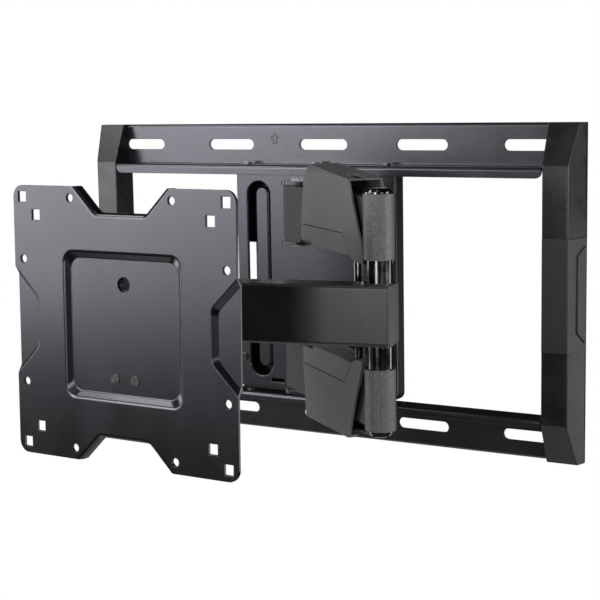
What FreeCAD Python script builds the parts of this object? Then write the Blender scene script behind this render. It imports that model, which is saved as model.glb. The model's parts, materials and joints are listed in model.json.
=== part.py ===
"""Full motion wall mount for a television, built as a parametric FreeCAD document.

Frame of the part: X runs along the wall to the right, Y points into the wall, Z is up, in millimetres.
The origin is the middle of the back face of the wall frame, so the wall is the plane Y = 0 and the
screen plate hangs out along -Y.  Five frames carry the groups of pieces:
    wall     the fixed frame
    arm      origin on the wall pivot, x towards the elbow
    forearm  origin on the elbow, x towards the head pivot
    head     origin on the head pivot, -y towards the screen
    tilt     the head frame leant about the tilt axis
"""
import FreeCAD, Part
import math
import os

import Sketcher
from FreeCAD import Placement, Rotation, Vector

doc = FreeCAD.newDocument("full_motion_tv_wall_mount")
XY, XZ, YZ = "XY_Plane", "XZ_Plane", "YZ_Plane"
EPS = 0.01

# ---------------------------------------------------------------- sizes

SIZES = {
    # wall frame
    "frame_half_w": 255.0,        # outer side of the end caps, at the wall
    "frame_half_h": 148.0,        # top and bottom edge of the rails
    "sheet_t": 2.5,               # sheet of rails, brackets and plates
    "rail_stand": 5.0,            # slotted face in front of the wall
    "frame_depth": 28.0,          # front of the strips and caps
    "rail_half_w": 249.0,
    "strip_half_w": 223.6,
    "ledge_top_z": 110.2,         # upper face of the top rail's ledge
    "strip_low_z": 101.0,
    "low_ledge_z": -108.0,        # upper face of the bottom rail's ledge
    "low_strip_z": -115.0,
    "bend_out": 3.2,              # outer and inner bend radii
    "bend_in": 0.8,
    "slot_row_z": 128.5,
    "slot_pitch": 101.6,
    "slot_len": 50.8,
    "slot_end_len": 45.4,         # the two outermost slots are shorter
    "slot_high": 10.0,
    "ledge_screw_pitch": 74.0,
    "ledge_screw_x": -3.0,
    "ledge_screw_y": -15.0,
    "ledge_hole_step": 16.5,
    "ledge_hole_rad": 2.6,
    "ledge_slot_x": 144.0,
    "ledge_slot_y": -12.0,
    "ledge_slot_len": 24.0,
    "ledge_slot_wide": 8.0,
    # end caps
    "cap_in_x": 224.5,
    "cap_front_x": 247.6,
    "cap_side_y": 4.0,            # straight foot of the outer side, from the wall
    "cap_wall": 2.0,
    "cap_front_half_h": 111.5,    # where the end slopes reach the front face
    "cap_end_y": 12.5,            # where they reach the cap's flat end, from the wall
    "band_low_z": -48.0,
    "band_high_z": 50.0,
    "band_t": 0.8,
    "grip_t": 1.2,
    # side channels inside the caps
    "channel_x": 229.5,
    "channel_w": 14.0,
    "channel_deep": 15.0,
    "channel_half_h": 132.0,
    "channel_flange_half_h": 104.0,
    "rivet_rad": 2.4,
    # centre plate
    "centre_half_w": 84.5,
    "centre_front_y": -25.5,
    "centre_back_y": -9.0,
    "centre_top_z": 107.7,
    "centre_low_z": -105.0,
    "window_x": -59.3,            # long opening and the island seen through it
    "window_w": 25.5,
    "window_high_z": 94.8,
    "window_low_z": -91.5,
    "island_w": 13.6,
    "island_x": -59.75,
    "island_high_z": 88.8,
    "island_low_z": -84.0,
    "island_front_y": -19.0,
    "guide_t": 1.5,
    # wall pivot
    "pivot_y": -50.0,
    "ear_t": 3.0,
    "ear_half_w": 15.0,
    "bracket_half_w": 22.0,
    "pin_rad": 5.0,
    "bush_rad": 7.5,
    "bush_flange_rad": 11.5,
    "bush_flange_t": 0.9,
    "run_fit": 0.05,              # radial clearance of a turning fit
    # arms
    "arm_len": 187.0,
    "arm_low_z": 44.2,
    "arm_high_z": 93.5,
    "barrel_rad": 12.7,           # at the elbow
    "barrel_top_z": 96.6,         # upper end of the upper arm's barrel
    "barrel_end_z": -94.4,        # lower end of the lower arm's barrel
    "barrel_gap": 0.4,            # between the elbow barrel and the covers
    "shoulder_rad": 17.5,         # rounded end at the wall, between flat sides
    "shoulder_half_w": 11.2,
    "shoulder_foot_x": 29.5,
    "shoulder_len": 60.0,
    "web_half_t": 8.0,
    "tie_x": 143.5,
    "tie_rad": 4.5,
    "tie_sink": 8.0,
    # arm covers, side view measured along the arm and up from the middle of the mount
    "cover_front_w": 13.6,        # width of each half, from the arm's middle
    "cover_rear_w": 16.7,
    "cover_wall": 2.0,
    "cover_gap": 0.4,             # half of the seam between the two halves
    "cover_top_back_x": 60.0,
    "cover_top_back_z": 115.5,
    "cover_top_front_x": 155.0,
    "cover_top_front_z": 107.0,
    "cover_nose_x": 181.0,
    "cover_nose_high_z": 57.5,
    "cover_nose_low_z": 40.0,
    "cover_foot_x": 161.0,
    "cover_low_z": 44.2,
    "cover_back_low_x": 31.0,
    "cover_back_mid_x": 40.0,
    "cover_back_mid_z": 62.5,
    "cover_back_high_x": 49.0,
    "cover_back_high_z": 102.0,
    "cover_lean": 3.0,            # how far the low facet leans in
    "cover_top_bevel": 2.2,
    "low_top_back_x": 46.0,       # the lower cover is a little shorter and blunter
    "low_top_back_z": 110.0,
    "low_top_front_x": 149.0,
    "low_top_front_z": 108.0,
    "low_nose_x": 173.0,
    "seam_slot_x": 140.5,         # cable slot across the seam near the elbow
    "seam_slot_len": 25.0,
    "seam_slot_wide": 10.0,
    "door_front_x": 141.0,        # cable door low on the front cover
    "door_foot_x": 152.0,
    "door_gap": 0.7,              # seam round the cable door
    "door_back_gap": 2.0,         # wider gap between the door and the arm's shoulder
    # elbow
    "elbow_pin_rad": 8.0,
    "elbow_cap_rad": 11.8,
    "elbow_cap_high": 4.9,
    "elbow_nut_rad": 9.2,
    "sleeve_rad": 10.4,
    # forearm
    "forearm_len": 155.3,
    "forearm_half_h": 24.6,
    "forearm_half_w": 15.0,
    "forearm_wall": 3.0,
    "forearm_edge_rad": 3.0,
    "forearm_past": 10.2,         # tube past each pivot axis
    "plug_t": 1.8,
    "hub_rad": 10.0,
    # head
    "head_pin_rad": 6.0,
    "yoke_ear_rad": 14.0,
    "yoke_ear_t": 4.0,
    "yoke_web_y": -31.0,
    "yoke_web_t": 5.0,
    "cheek_in_x": 21.0,
    "cheek_t": 4.0,
    "cheek_rad": 16.0,
    "tilt_y": -73.0,
    "tilt_pin_rad": 5.0,
    "tilt_washer_rad": 12.0,
    "tilt_washer_t": 1.2,
    "bracket_half_h": 50.0,
    "bracket_base_half_w": 30.0,
    "bracket_t": 3.0,
    # screen plate
    "screen_front_y": -101.1,
    "plate_drop": 2.6,            # middle of the plate below the tilt axis
    "screen_half": 109.2,
    "screen_corner_rad": 9.5,
    "notch_edge_half": 44.4,     # the notch sides run at 45 degrees
    "notch_floor_half": 24.2,
    "notch_floor_z": 89.0,
    "notch_lip": 9.0,
    "notch_corner_rad": 5.5,
    "notch_bend": 3.6,            # outer radius of the bend along each notch
    "recess_half_w": 57.9,
    "recess_half_h": 58.4,
    "recess_rad": 9.0,
    "recess_deep": 3.5,
    "recess_slope": 5.1,
    "recess_rim_rad": 4.0,        # soft bends at the recess's rim and floor
    "recess_floor_rad": 1.2,
    "side_edge_half": 43.8,
    "side_inner_half": 20.5,
    "side_inner_x": 85.5,
    "side_floor_edge_half": 37.5,
    "side_floor_half": 18.5,
    "side_floor_x": 89.5,
    "side_deep": 4.0,
    "side_corner_rad": 14.0,
    "side_rim_rad": 1.5,
    "vesa_half": 100.0,
    "vesa_mid": 50.0,
    "inner_square": 85.8,
    "square_half": 4.25,
    "round_rad": 3.4,
    "hook_hole_z": 33.5,
    "hook_hole_rad": 6.0,
    "plate_screw_x": 10.0,
    "plate_screw_z": -41.3,
}
ARM_ANGLE = -40.3         # degrees, from X to the arm, seen from above
FOREARM_ANGLE = 192.4     # degrees, from X to the forearm
HEAD_YAW = -2.2           # degrees, the head turned from facing straight out
SCREEN_TILT = -1.2        # degrees, the screen plate leant about the tilt axis

sheet = doc.addObject("Spreadsheet::Sheet", "sizes")
for row, (alias, value) in enumerate(SIZES.items(), start=1):
    sheet.set(f"A{row}", alias)
    sheet.set(f"B{row}", str(value))
    sheet.setAlias(f"B{row}", alias)
doc.recompute()


class Size:
    """A length with the sheet expression that gives it, so that arithmetic keeps both."""

    def __init__(self, value, text):
        self.value = float(value)
        self.text = text

    def __add__(self, other):
        other = as_size(other)
        return Size(self.value + other.value, f"({self.text} + {other.text})")

    def __sub__(self, other):
        other = as_size(other)
        return Size(self.value - other.value, f"({self.text} - {other.text})")

    def __radd__(self, other):
        return as_size(other) + self

    def __rsub__(self, other):
        return as_size(other) - self

    def __mul__(self, factor):
        return Size(self.value * factor, f"({self.text} * {factor})")

    __rmul__ = __mul__

    def __truediv__(self, factor):
        return Size(self.value / factor, f"({self.text} / {factor})")

    def __neg__(self):
        return Size(-self.value, f"(0 - {self.text})")


def as_size(number):
    return number if isinstance(number, Size) else Size(number, f"({float(number)})")


def sz(alias):
    return Size(SIZES[alias], f"sizes.{alias}")


# ---------------------------------------------------------------- frames

def turned(x, y, degrees):
    return Placement(Vector(x, y, 0), Rotation(Vector(0, 0, 1), degrees))


PIVOT = Vector(0, SIZES["pivot_y"], 0)
arm_dir = Vector(math.cos(math.radians(ARM_ANGLE)), math.sin(math.radians(ARM_ANGLE)), 0)
forearm_dir = Vector(math.cos(math.radians(FOREARM_ANGLE)), math.sin(math.radians(FOREARM_ANGLE)), 0)
ELBOW = PIVOT + arm_dir * SIZES["arm_len"]
HEAD = ELBOW + forearm_dir * SIZES["forearm_len"]

WALL_FRAME = Placement()
ARM_FRAME = turned(PIVOT.x, PIVOT.y, ARM_ANGLE)
FOREARM_FRAME = turned(ELBOW.x, ELBOW.y, FOREARM_ANGLE)
HEAD_FRAME = turned(HEAD.x, HEAD.y, HEAD_YAW)
TILT_AXIS = Vector(0, SIZES["tilt_y"], 0)
TILT_FRAME = HEAD_FRAME.multiply(Placement(Vector(), Rotation(Vector(1, 0, 0), SCREEN_TILT), TILT_AXIS))
SCREEN_FRAME = TILT_FRAME.multiply(Placement(Vector(0, 0, -SIZES["plate_drop"]), Rotation()))

parts = []


# ---------------------------------------------------------------- sketch helpers

def new_body(label, frame=WALL_FRAME):
    body = doc.addObject("PartDesign::Body", label)
    body.Label = label
    body.Placement = frame
    parts.append(body)
    return body


def plane_of(body, role):
    return next(item for item in body.Origin.OriginFeatures if item.Role == role)


def sketch_on(body, role, offset=0):
    """An empty sketch on one of the body's own planes, moved along the plane's normal."""
    offset = as_size(offset)
    sketch = body.newObject("Sketcher::SketchObject", f"{body.Name}_sketch")
    sketch.AttachmentSupport = (plane_of(body, role), [""])
    sketch.MapMode = "FlatFace"
    sketch.AttachmentOffset = Placement(Vector(0, 0, offset.value), Rotation())
    sketch.setExpression("AttachmentOffset.Base.z", offset.text)
    return sketch


def pin_point(sketch, geometry, end, x, y):
    """Hold one point of the sketch at sheet-driven coordinates."""
    for kind, size in (("DistanceX", as_size(x)), ("DistanceY", as_size(y))):
        index = sketch.addConstraint(Sketcher.Constraint(kind, -1, 1, geometry, end, size.value))
        sketch.setExpression(f"Constraints[{index}]", size.text)


def polygon(sketch, points):
    points = [(as_size(x), as_size(y)) for x, y in points]
    corners = [Vector(x.value, y.value, 0) for x, y in points]
    first = sketch.GeometryCount
    count = len(points)
    for i in range(count):
        sketch.addGeometry(Part.LineSegment(corners[i], corners[(i + 1) % count]), False)
    for i in range(count):
        sketch.addConstraint(Sketcher.Constraint("Coincident", first + i, 2, first + (i + 1) % count, 1))
    for i, (x, y) in enumerate(points):
        pin_point(sketch, first + i, 1, x, y)
    return sketch


def rectangle(sketch, x0, x1, y0, y1):
    return polygon(sketch, [(x0, y0), (x1, y0), (x1, y1), (x0, y1)])


def circle(sketch, x, y, radius):
    x, y, radius = as_size(x), as_size(y), as_size(radius)
    index = sketch.addGeometry(Part.Circle(Vector(x.value, y.value, 0), Vector(0, 0, 1), radius.value), False)
    pin_point(sketch, index, 3, x, y)
    held = sketch.addConstraint(Sketcher.Constraint("Radius", index, radius.value))
    sketch.setExpression(f"Constraints[{held}]", radius.text)
    return sketch


def obround(sketch, x, y, length, width, upright=False):
    """A slot with round ends, centred on x, y; its length runs along x, or along y if upright."""
    x, y, length, width = (as_size(item) for item in (x, y, length, width))
    reach = (length - width) / 2
    rad = width / 2
    start = 0 if upright else math.pi / 2
    ends = []
    for side in (1, -1) if upright else (-1, 1):
        cx, cy = (x, y + side * reach) if upright else (x + side * reach, y)
        circle_at = Part.Circle(Vector(cx.value, cy.value, 0), Vector(0, 0, 1), rad.value)
        arc = Part.ArcOfCircle(circle_at, start, start + math.pi)
        index = sketch.addGeometry(arc, False)
        ends.append((index, cx, cy, arc))
        start += math.pi
    (a, ax, ay, arc_a), (b, bx, by, arc_b) = ends
    first = sketch.addGeometry(Part.LineSegment(arc_a.EndPoint, arc_b.StartPoint), False)
    second = sketch.addGeometry(Part.LineSegment(arc_b.EndPoint, arc_a.StartPoint), False)
    joins = ((a, 2, first, 1), (first, 2, b, 1), (b, 2, second, 1), (second, 2, a, 1))
    for one, end, other, start_of in joins:
        sketch.addConstraint(Sketcher.Constraint("Tangent", one, end, other, start_of))
    pin_point(sketch, a, 3, ax, ay)
    pin_point(sketch, b, 3, bx, by)
    held = sketch.addConstraint(Sketcher.Constraint("Radius", a, rad.value))
    sketch.setExpression(f"Constraints[{held}]", rad.text)
    return sketch


def rounded_rectangle(sketch, half_w, half_h, radius):
    """A rectangle about the sketch's origin with a quarter circle at each corner."""
    half_w, half_h, radius = as_size(half_w), as_size(half_h), as_size(radius)
    arcs = []
    for number, (sx, sy) in enumerate(((1, 1), (-1, 1), (-1, -1), (1, -1))):
        cx, cy = sx * (half_w - radius), sy * (half_h - radius)
        start = number * math.pi / 2
        circle_at = Part.Circle(Vector(cx.value, cy.value, 0), Vector(0, 0, 1), radius.value)
        arc = Part.ArcOfCircle(circle_at, start, start + math.pi / 2)
        arcs.append((sketch.addGeometry(arc, False), cx, cy, arc))
    for number, (index, cx, cy, arc) in enumerate(arcs):
        following, _, _, next_arc = arcs[(number + 1) % 4]
        line = sketch.addGeometry(Part.LineSegment(arc.EndPoint, next_arc.StartPoint), False)
        sketch.addConstraint(Sketcher.Constraint("Tangent", index, 2, line, 1))
        sketch.addConstraint(Sketcher.Constraint("Tangent", line, 2, following, 1))
    for index, cx, cy, _ in arcs:
        pin_point(sketch, index, 3, cx, cy)
        held = sketch.addConstraint(Sketcher.Constraint("Radius", index, radius.value))
        sketch.setExpression(f"Constraints[{held}]", radius.text)
    return sketch


# ---------------------------------------------------------------- feature helpers

def volume_of(body):
    return body.Shape.Volume if body.Shape and not body.Shape.isNull() else 0.0


def pad(body, sketch, length, back=False, middle=False):
    length = as_size(length)
    feature = body.newObject("PartDesign::Pad", f"{body.Name}_pad")
    feature.Profile = sketch
    feature.Length = length.value
    feature.setExpression("Length", length.text)
    feature.Reversed = back
    feature.Midplane = middle
    doc.recompute()
    return feature


def pocket(body, sketch, length, back=False, middle=False):
    """Cut away; fails loudly when the cut points off the solid."""
    length = as_size(length)
    before = volume_of(body)
    feature = body.newObject("PartDesign::Pocket", f"{body.Name}_pocket")
    feature.Profile = sketch
    feature.Length = length.value
    feature.setExpression("Length", length.text)
    feature.Reversed = back
    feature.Midplane = middle
    doc.recompute()
    if volume_of(body) > before - 0.01:
        raise RuntimeError(f"{body.Label}: {feature.Name} cut nothing")
    return feature


def revolve(body, sketch, axis="V_Axis"):
    feature = body.newObject("PartDesign::Revolution", f"{body.Name}_turn")
    feature.Profile = sketch
    feature.ReferenceAxis = (sketch, [axis])
    feature.Angle = 360
    doc.recompute()
    return feature


def loft(body, kind, sketches):
    feature = body.newObject(f"PartDesign::{kind}", f"{body.Name}_loft")
    feature.Profile = sketches[0]
    feature.Sections = sketches[1:]
    feature.Ruled = True
    doc.recompute()
    return feature


def edges_where(shape, test):
    return [f"Edge{i}" for i, edge in enumerate(shape.Edges, start=1) if test(edge)]


def runs_along(axis, **at):
    """A test for straight edges parallel to an axis that lie at the given coordinates."""
    spans = {"x": ("XMin", "XMax"), "y": ("YMin", "YMax"), "z": ("ZMin", "ZMax")}

    def test(edge):
        box = edge.BoundBox
        if edge.Curve.TypeId != "Part::GeomLine":
            return False
        for name, (low, high) in spans.items():
            length = getattr(box, high) - getattr(box, low)
            if (name == axis) != (length > 0.2):
                return False
        for name, values in at.items():
            middle = (getattr(box, spans[name][0]) + getattr(box, spans[name][1])) / 2
            values = values if isinstance(values, (list, tuple)) else [values]
            if not any(abs(middle - as_size(value).value) < EPS for value in values):
                return False
        return True

    return test


def round_edges(body, test, radius, kind="Fillet"):
    radius = as_size(radius)
    base = body.Tip
    names = edges_where(base.Shape, test)
    if not names:
        raise RuntimeError(f"{body.Label}: no edge to round")
    feature = body.newObject(f"PartDesign::{kind}", f"{body.Name}_{kind.lower()}")
    feature.Base = (base, names)
    key = "Radius" if kind == "Fillet" else "Size"
    setattr(feature, key, radius.value)
    feature.setExpression(key, radius.text)
    doc.recompute()
    return feature


def ring(label, frame, outer, inner, low, length):
    """A plain round sleeve standing on the height low."""
    body = new_body(label, frame)
    sketch = sketch_on(body, XY, low)
    circle(sketch, 0, 0, outer)
    circle(sketch, 0, 0, inner)
    pad(body, sketch, length)
    return body


def turned_body(label, frame, outline):
    """A solid of revolution about the frame's z axis, from (radius, height) pairs."""
    body = new_body(label, frame)
    revolve(body, polygon(sketch_on(body, XZ), outline))
    return body


def group(label, members):
    """Several identical pieces, each its own solid, kept together in one node."""
    compound = doc.addObject("Part::Compound", label)
    compound.Label = label
    compound.Links = members
    for member in members:
        if member in parts:
            parts.remove(member)
    parts.append(compound)
    return compound


def head_and_shank(name, frame, head_rad, head_high, shank_rad, shank_len, hexagon=False):
    """A screw standing along the frame's z: head above z = 0, shank below."""
    if hexagon:
        head = doc.addObject("Part::Prism", f"{name}_head")
        head.Polygon = 6
        head.Circumradius = head_rad.value
        head.setExpression("Circumradius", head_rad.text)
    else:
        head = doc.addObject("Part::Cylinder", f"{name}_head")
        head.Radius = head_rad.value
        head.setExpression("Radius", head_rad.text)
    head.Height = head_high
    shank = doc.addObject("Part::Cylinder", f"{name}_shank")
    shank.Radius = shank_rad.value
    shank.setExpression("Radius", shank_rad.text)
    shank.Height = shank_len
    shank.Placement = Placement(Vector(0, 0, -shank_len), Rotation())
    screw = doc.addObject("Part::Fuse", name)
    screw.Base = head
    screw.Tool = shank
    screw.Placement = frame
    return screw


def hex_nut(label, frame, circumradius, bore_rad, thick):
    """A nut whose upper face is at the frame's z = 0."""
    hexagon = doc.addObject("Part::Prism", f"{label}_hexagon")
    hexagon.Polygon = 6
    hexagon.Circumradius = circumradius
    hexagon.Height = thick
    thread = doc.addObject("Part::Cylinder", f"{label}_bore")
    thread.Radius = bore_rad.value
    thread.setExpression("Radius", bore_rad.text)
    thread.Height = thick
    down = Placement(Vector(0, 0, -thick), Rotation())
    hexagon.Placement = frame.multiply(down)
    thread.Placement = frame.multiply(down)
    nut = doc.addObject("Part::Cut", label)
    nut.Label = label
    nut.Base, nut.Tool = hexagon, thread
    return nut


# ---------------------------------------------------------------- wall frame

SHEET = sz("sheet_t")
STAND = sz("rail_stand")
DEPTH = sz("frame_depth")
HALF_H = sz("frame_half_h")
LEDGE_SCREWS = [sz("ledge_screw_x") + sz("ledge_screw_pitch") * step for step in (-1, 0, 1)]


def rail_slots(body, height):
    """The row of wall slots: three long ones and a shorter one at each end."""
    sketch = sketch_on(body, XZ)
    for step in (-2, -1, 0, 1, 2):
        length = sz("slot_end_len") if abs(step) == 2 else sz("slot_len")
        centre = sz("slot_pitch") * step
        obround(sketch, centre, height, length, sz("slot_high"))
    pocket(body, sketch, 40, middle=True)


def trim_strip_ends(body, low, high):
    """Stop the ledge and strip short of the caps; the slotted face runs on into them."""
    sketch = sketch_on(body, XZ, STAND)
    for side in (-1, 1):
        near, far = sz("strip_half_w") * side, sz("rail_half_w") * side + side
        rectangle(sketch, *((near, far) if side > 0 else (far, near)), low, high)
    pocket(body, sketch, 40, back=True)


def ledge_holes(body, above, span):
    """Screw holes through a ledge and the spare hole beside each."""
    sketch = sketch_on(body, XY, above)
    for x in LEDGE_SCREWS:
        circle(sketch, x, sz("ledge_screw_y"), sz("ledge_hole_rad"))
        circle(sketch, x + sz("ledge_hole_step"), sz("ledge_screw_y"), sz("ledge_hole_rad") + 0.4)
    pocket(body, sketch, span)


def rivet_holes(body, heights):
    """Holes for the rivets that hold the side channels to a rail."""
    sketch = sketch_on(body, XZ)
    for side in (-1, 1):
        for height in heights:
            circle(sketch, channel_mid(side), height, sz("rivet_rad"))
    pocket(body, sketch, 40, middle=True)


def channel_mid(side):
    return (sz("channel_x") + sz("channel_w") / 2) * side


def trim_flange_ends(body, up):
    """Notch the outer flange's ends, which slip in under the end caps."""
    notch = sketch_on(body, XZ, -1)
    for side in (-1, 1):
        rectangle(notch, side * (sz("cap_in_x") - 0.4), side * (sz("rail_half_w") + 1),
                  up * (HALF_H - sz("cap_wall") - 0.4), up * (HALF_H + 1))
    pocket(body, notch, STAND + 2, back=True)


TOP_RIVETS = (120.0, 129.0)
LOW_RIVETS = (-129.0, -120.0)
ARROW_X = -52.0            # pressed mark that shows which way is up

top_rail = new_body("top_rail")
polygon(sketch_on(top_rail, YZ), [
    (0, HALF_H), (-STAND, HALF_H), (-STAND, sz("ledge_top_z")), (-DEPTH, sz("ledge_top_z")),
    (-DEPTH, sz("strip_low_z")), (SHEET - DEPTH, sz("strip_low_z")),
    (SHEET - DEPTH, sz("ledge_top_z") - SHEET), (SHEET - STAND, sz("ledge_top_z") - SHEET),
    (SHEET - STAND, HALF_H - SHEET), (0, HALF_H - SHEET)])
pad(top_rail, top_rail.Group[-1], sz("rail_half_w") * 2, middle=True)
round_edges(top_rail, lambda e: runs_along("x", y=-STAND, z=HALF_H)(e)
            or runs_along("x", y=-DEPTH, z=sz("ledge_top_z"))(e)
            or runs_along("x", y=SHEET - STAND, z=sz("ledge_top_z") - SHEET)(e), sz("bend_out"))
round_edges(top_rail, lambda e: runs_along("x", y=-STAND, z=sz("ledge_top_z"))(e)
            or runs_along("x", y=SHEET - DEPTH, z=sz("ledge_top_z") - SHEET)(e)
            or runs_along("x", y=SHEET - STAND, z=HALF_H - SHEET)(e), sz("bend_in"))
trim_strip_ends(top_rail, 98, sz("ledge_top_z") + 0.5)
trim_flange_ends(top_rail, 1)
round_edges(top_rail, runs_along("y", x=[sz("strip_half_w"), -sz("strip_half_w")], z=sz("strip_low_z")), 6)
rail_slots(top_rail, sz("slot_row_z"))
ledge_holes(top_rail, sz("ledge_top_z") + 0.5, 4)
rivet_holes(top_rail, TOP_RIVETS)
arrow = sketch_on(top_rail, XZ, STAND)
for inset in (0.0, 1.1):
    head, shoulder, foot = 139.5 - inset * 1.6, 134.0 + inset * 0.6, 128.5 + inset
    wide, stem = 5.2 - inset * 2.2, 2.4 - inset
    polygon(arrow, [(ARROW_X - stem, foot), (ARROW_X + stem, foot), (ARROW_X + stem, shoulder),
                    (ARROW_X + wide, shoulder), (ARROW_X, head), (ARROW_X - wide, shoulder),
                    (ARROW_X - stem, shoulder)])
pocket(top_rail, arrow, 0.4)

bottom_rail = new_body("bottom_rail")
polygon(sketch_on(bottom_rail, YZ), [
    (0, -HALF_H), (-STAND, -HALF_H), (-STAND, sz("low_ledge_z") - SHEET),
    (SHEET - DEPTH, sz("low_ledge_z") - SHEET), (SHEET - DEPTH, sz("low_strip_z")),
    (-DEPTH, sz("low_strip_z")), (-DEPTH, sz("low_ledge_z")), (SHEET - STAND, sz("low_ledge_z")),
    (SHEET - STAND, SHEET - HALF_H), (0, SHEET - HALF_H)])
pad(bottom_rail, bottom_rail.Group[-1], sz("rail_half_w") * 2, middle=True)
round_edges(bottom_rail, lambda e: runs_along("x", y=-STAND, z=-HALF_H)(e)
            or runs_along("x", y=-DEPTH, z=sz("low_ledge_z"))(e)
            or runs_along("x", y=SHEET - STAND, z=sz("low_ledge_z"))(e), sz("bend_out"))
round_edges(bottom_rail, lambda e: runs_along("x", y=-STAND, z=sz("low_ledge_z") - SHEET)(e)
            or runs_along("x", y=SHEET - DEPTH, z=sz("low_ledge_z") - SHEET)(e)
            or runs_along("x", y=SHEET - STAND, z=SHEET - HALF_H)(e), sz("bend_in"))
trim_strip_ends(bottom_rail, sz("low_strip_z") - 1, sz("low_ledge_z") + 0.5)
trim_flange_ends(bottom_rail, -1)
rail_slots(bottom_rail, -sz("slot_row_z"))
ledge_holes(bottom_rail, sz("low_ledge_z") + 0.5, 4)
rivet_holes(bottom_rail, LOW_RIVETS)
side_slots = sketch_on(bottom_rail, XY, sz("low_ledge_z") + 0.5)
for side in (-1, 1):
    obround(side_slots, side * sz("ledge_slot_x"), sz("ledge_slot_y"),
            sz("ledge_slot_len"), sz("ledge_slot_wide"))
pocket(bottom_rail, side_slots, 4)


def cap_outline(side, inset, open_back):
    """Cross-section of an end cap: upright inner side, sloping outer side."""
    x_in, x_front, x_out = sz("cap_in_x"), sz("cap_front_x"), sz("frame_half_w")
    foot = -sz("cap_side_y")
    back = 1.0 if open_back else 0.0
    return [(side * x, y) for x, y in (
        (x_in + inset, back), (x_out - inset, back), (x_out - inset, foot),
        (x_front - inset * 0.6, inset - DEPTH), (x_in + inset, inset - DEPTH))]


def end_cap(label, side):
    """Plastic cover over one end of the frame, sloped back at top and bottom."""
    body = new_body(label)
    polygon(sketch_on(body, XY), cap_outline(side, as_size(0), False))
    pad(body, body.Group[-1], HALF_H * 2, middle=True)
    slopes = sketch_on(body, YZ)
    for up in (1, -1):
        polygon(slopes, [(-DEPTH - 1, up * sz("cap_front_half_h")), (-DEPTH, up * sz("cap_front_half_h")),
                         (-sz("cap_end_y"), up * HALF_H), (-sz("cap_end_y"), up * (HALF_H + 1)),
                         (-DEPTH - 1, up * (HALF_H + 1))])
    pocket(body, slopes, 600, middle=True)
    round_edges(body, runs_along("z", x=side * sz("cap_front_x"), y=-DEPTH), 1.6)
    round_edges(body, runs_along("z", x=side * sz("cap_in_x"), y=-DEPTH), 0.8)
    hollow = sketch_on(body, XY)
    polygon(hollow, cap_outline(side, sz("cap_wall"), True))
    pocket(body, hollow, 2 * sz("cap_front_half_h") - 8, middle=True)
    ends = sketch_on(body, XZ, -1)
    x_near, x_far = side * (sz("cap_in_x") + sz("cap_wall")), side * (sz("frame_half_w") - sz("cap_wall"))
    for low, high in ((98, 136), (-136, -98)):
        rectangle(ends, x_near, x_far, low, high)
    pocket(body, ends, 9.6, back=True)
    passage = sketch_on(body, XZ, -1)
    x_near, x_far = side * (sz("cap_in_x") - 1), side * (sz("rail_half_w") + 1)
    rectangle(passage, x_near, x_far, sz("cap_wall") - HALF_H, sz("low_ledge_z") + 0.4)
    rectangle(passage, x_near, x_far, sz("ledge_top_z") - SHEET - 0.4, HALF_H - sz("cap_wall"))
    pocket(body, passage, STAND + 1.2, back=True)
    return body


# lean of the caps' outer side, and the outer corners of a band of even thickness round it
CAP_LEAN = math.atan2(SIZES["frame_half_w"] - SIZES["cap_front_x"],
                      SIZES["frame_depth"] - SIZES["cap_side_y"])
BAND_FOOT_X = sz("frame_half_w") + sz("band_t") / math.cos(CAP_LEAN)
BAND_FRONT_X = sz("cap_front_x") + sz("band_t") * ((1 - math.sin(CAP_LEAN)) / math.cos(CAP_LEAN))


def cap_band(label, side):
    """The slightly proud wrap round the middle of an end cap."""
    body = new_body(label)
    start, foot, front = sz("cap_in_x") + 0.4, -sz("cap_side_y"), -DEPTH - sz("band_t")
    outline = [(start, -DEPTH), (sz("cap_front_x"), -DEPTH), (sz("frame_half_w"), foot), (BAND_FOOT_X, foot),
               (BAND_FRONT_X, front), (start, front)]
    polygon(sketch_on(body, XY, sz("band_low_z")), [(side * x, y) for x, y in outline])
    pad(body, body.Group[-1], sz("band_high_z") - sz("band_low_z"))
    round_edges(body, runs_along("z", x=side * BAND_FRONT_X, y=front), 1.2)
    return body


def cap_grip(label, side):
    """Raised six-sided pad on the sloping side of an end cap."""
    at = Placement(Vector(side * BAND_FOOT_X.value, -SIZES["cap_side_y"], 0),
                   Rotation(Vector(0, 0, 1), -side * math.degrees(CAP_LEAN)))
    body = new_body(label, at)
    outline = sketch_on(body, YZ)
    polygon(outline, [(-2.0, -41), (-2.0, 43), (-13.0, 35), (-13.0, -31)])
    pad(body, outline, sz("grip_t"), back=side < 0)
    faces = runs_along("z", x=sz("grip_t") * side)
    round_edges(body, faces, 0.5, "Chamfer")
    return body


def side_channel(label, side):
    """Steel channel inside an end cap that ties the two rails together."""
    body = new_body(label)
    x0, x1 = sz("channel_x"), sz("channel_x") + sz("channel_w")
    ends = (x0 * side, x1 * side) if side > 0 else (x1 * side, x0 * side)
    web = sketch_on(body, XZ, STAND)
    rectangle(web, *ends, -sz("channel_half_h"), sz("channel_half_h"))
    pad(body, web, SHEET)
    for near, far in ((x0, x0 + SHEET), (x1 - SHEET, x1)):
        flange = sketch_on(body, XZ, STAND)
        pair = (near * side, far * side) if side > 0 else (far * side, near * side)
        rectangle(flange, *pair, -sz("channel_flange_half_h"), sz("channel_flange_half_h"))
        pad(body, flange, sz("channel_deep"))
    holes = sketch_on(body, XZ)
    for height in TOP_RIVETS + LOW_RIVETS:
        circle(holes, channel_mid(side), height, sz("rivet_rad"))
    pocket(body, holes, 40, middle=True)
    return body


for name, side in (("left", -1), ("right", 1)):
    end_cap(f"{name}_end_cap", side)
    cap_band(f"{name}_cap_band", side)
    cap_grip(f"{name}_cap_grip", side)
    side_channel(f"{name}_side_channel", side)

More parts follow.
